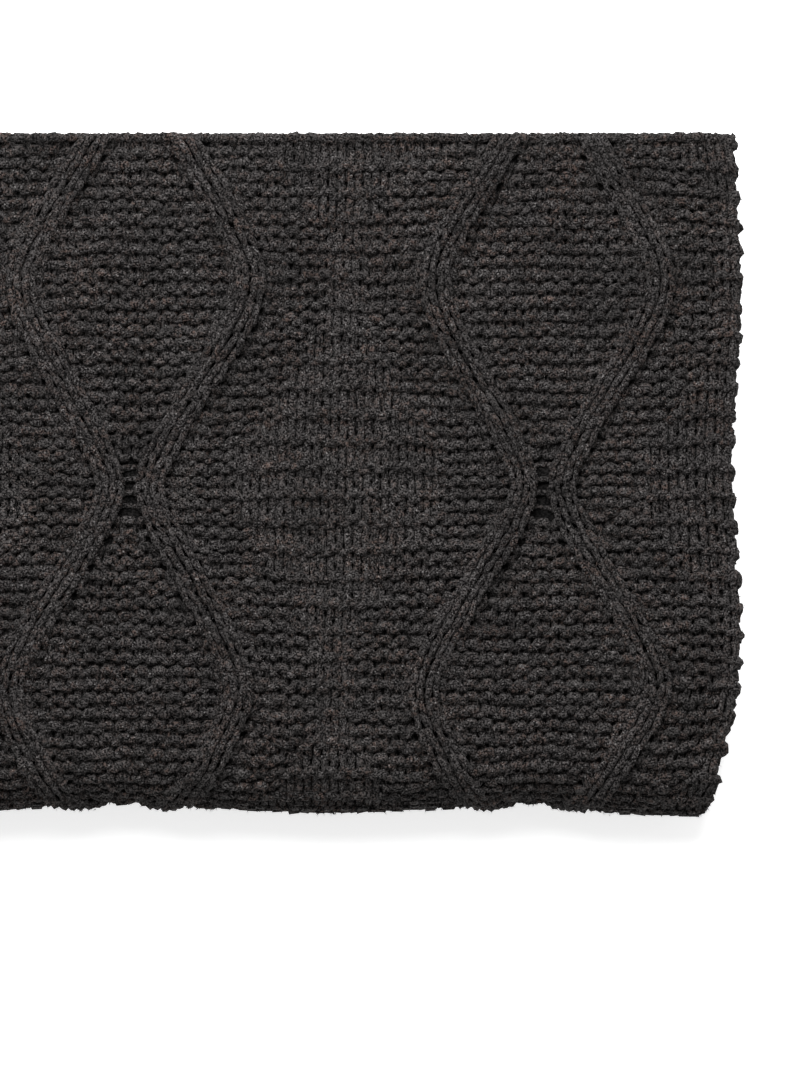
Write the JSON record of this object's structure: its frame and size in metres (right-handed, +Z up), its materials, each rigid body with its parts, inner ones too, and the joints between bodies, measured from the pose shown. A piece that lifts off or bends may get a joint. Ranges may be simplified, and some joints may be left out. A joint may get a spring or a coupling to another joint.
{
  "type": "throw blanket",
  "caption": "Chunky cable-knit throw blanket with paired wavy raised cables, folded in half across and twice along into a flat soft bundle.",
  "frame": {"origin": "centre of the folded bundle's footprint, on the surface that it lies on", "axes": "+Z up from that surface, +X along the bundle's width towards the selvedges, +Y from the soft front fold towards the back, where the free ends lie"},
  "size_m": [0.6525, 0.3614, 0.0844],
  "materials": {
    "knit": "matte heathered charcoal chenille yarn"
  },
  "bodies": {
    "root": {"throw": "knit"}
  },
  "joints": []
}
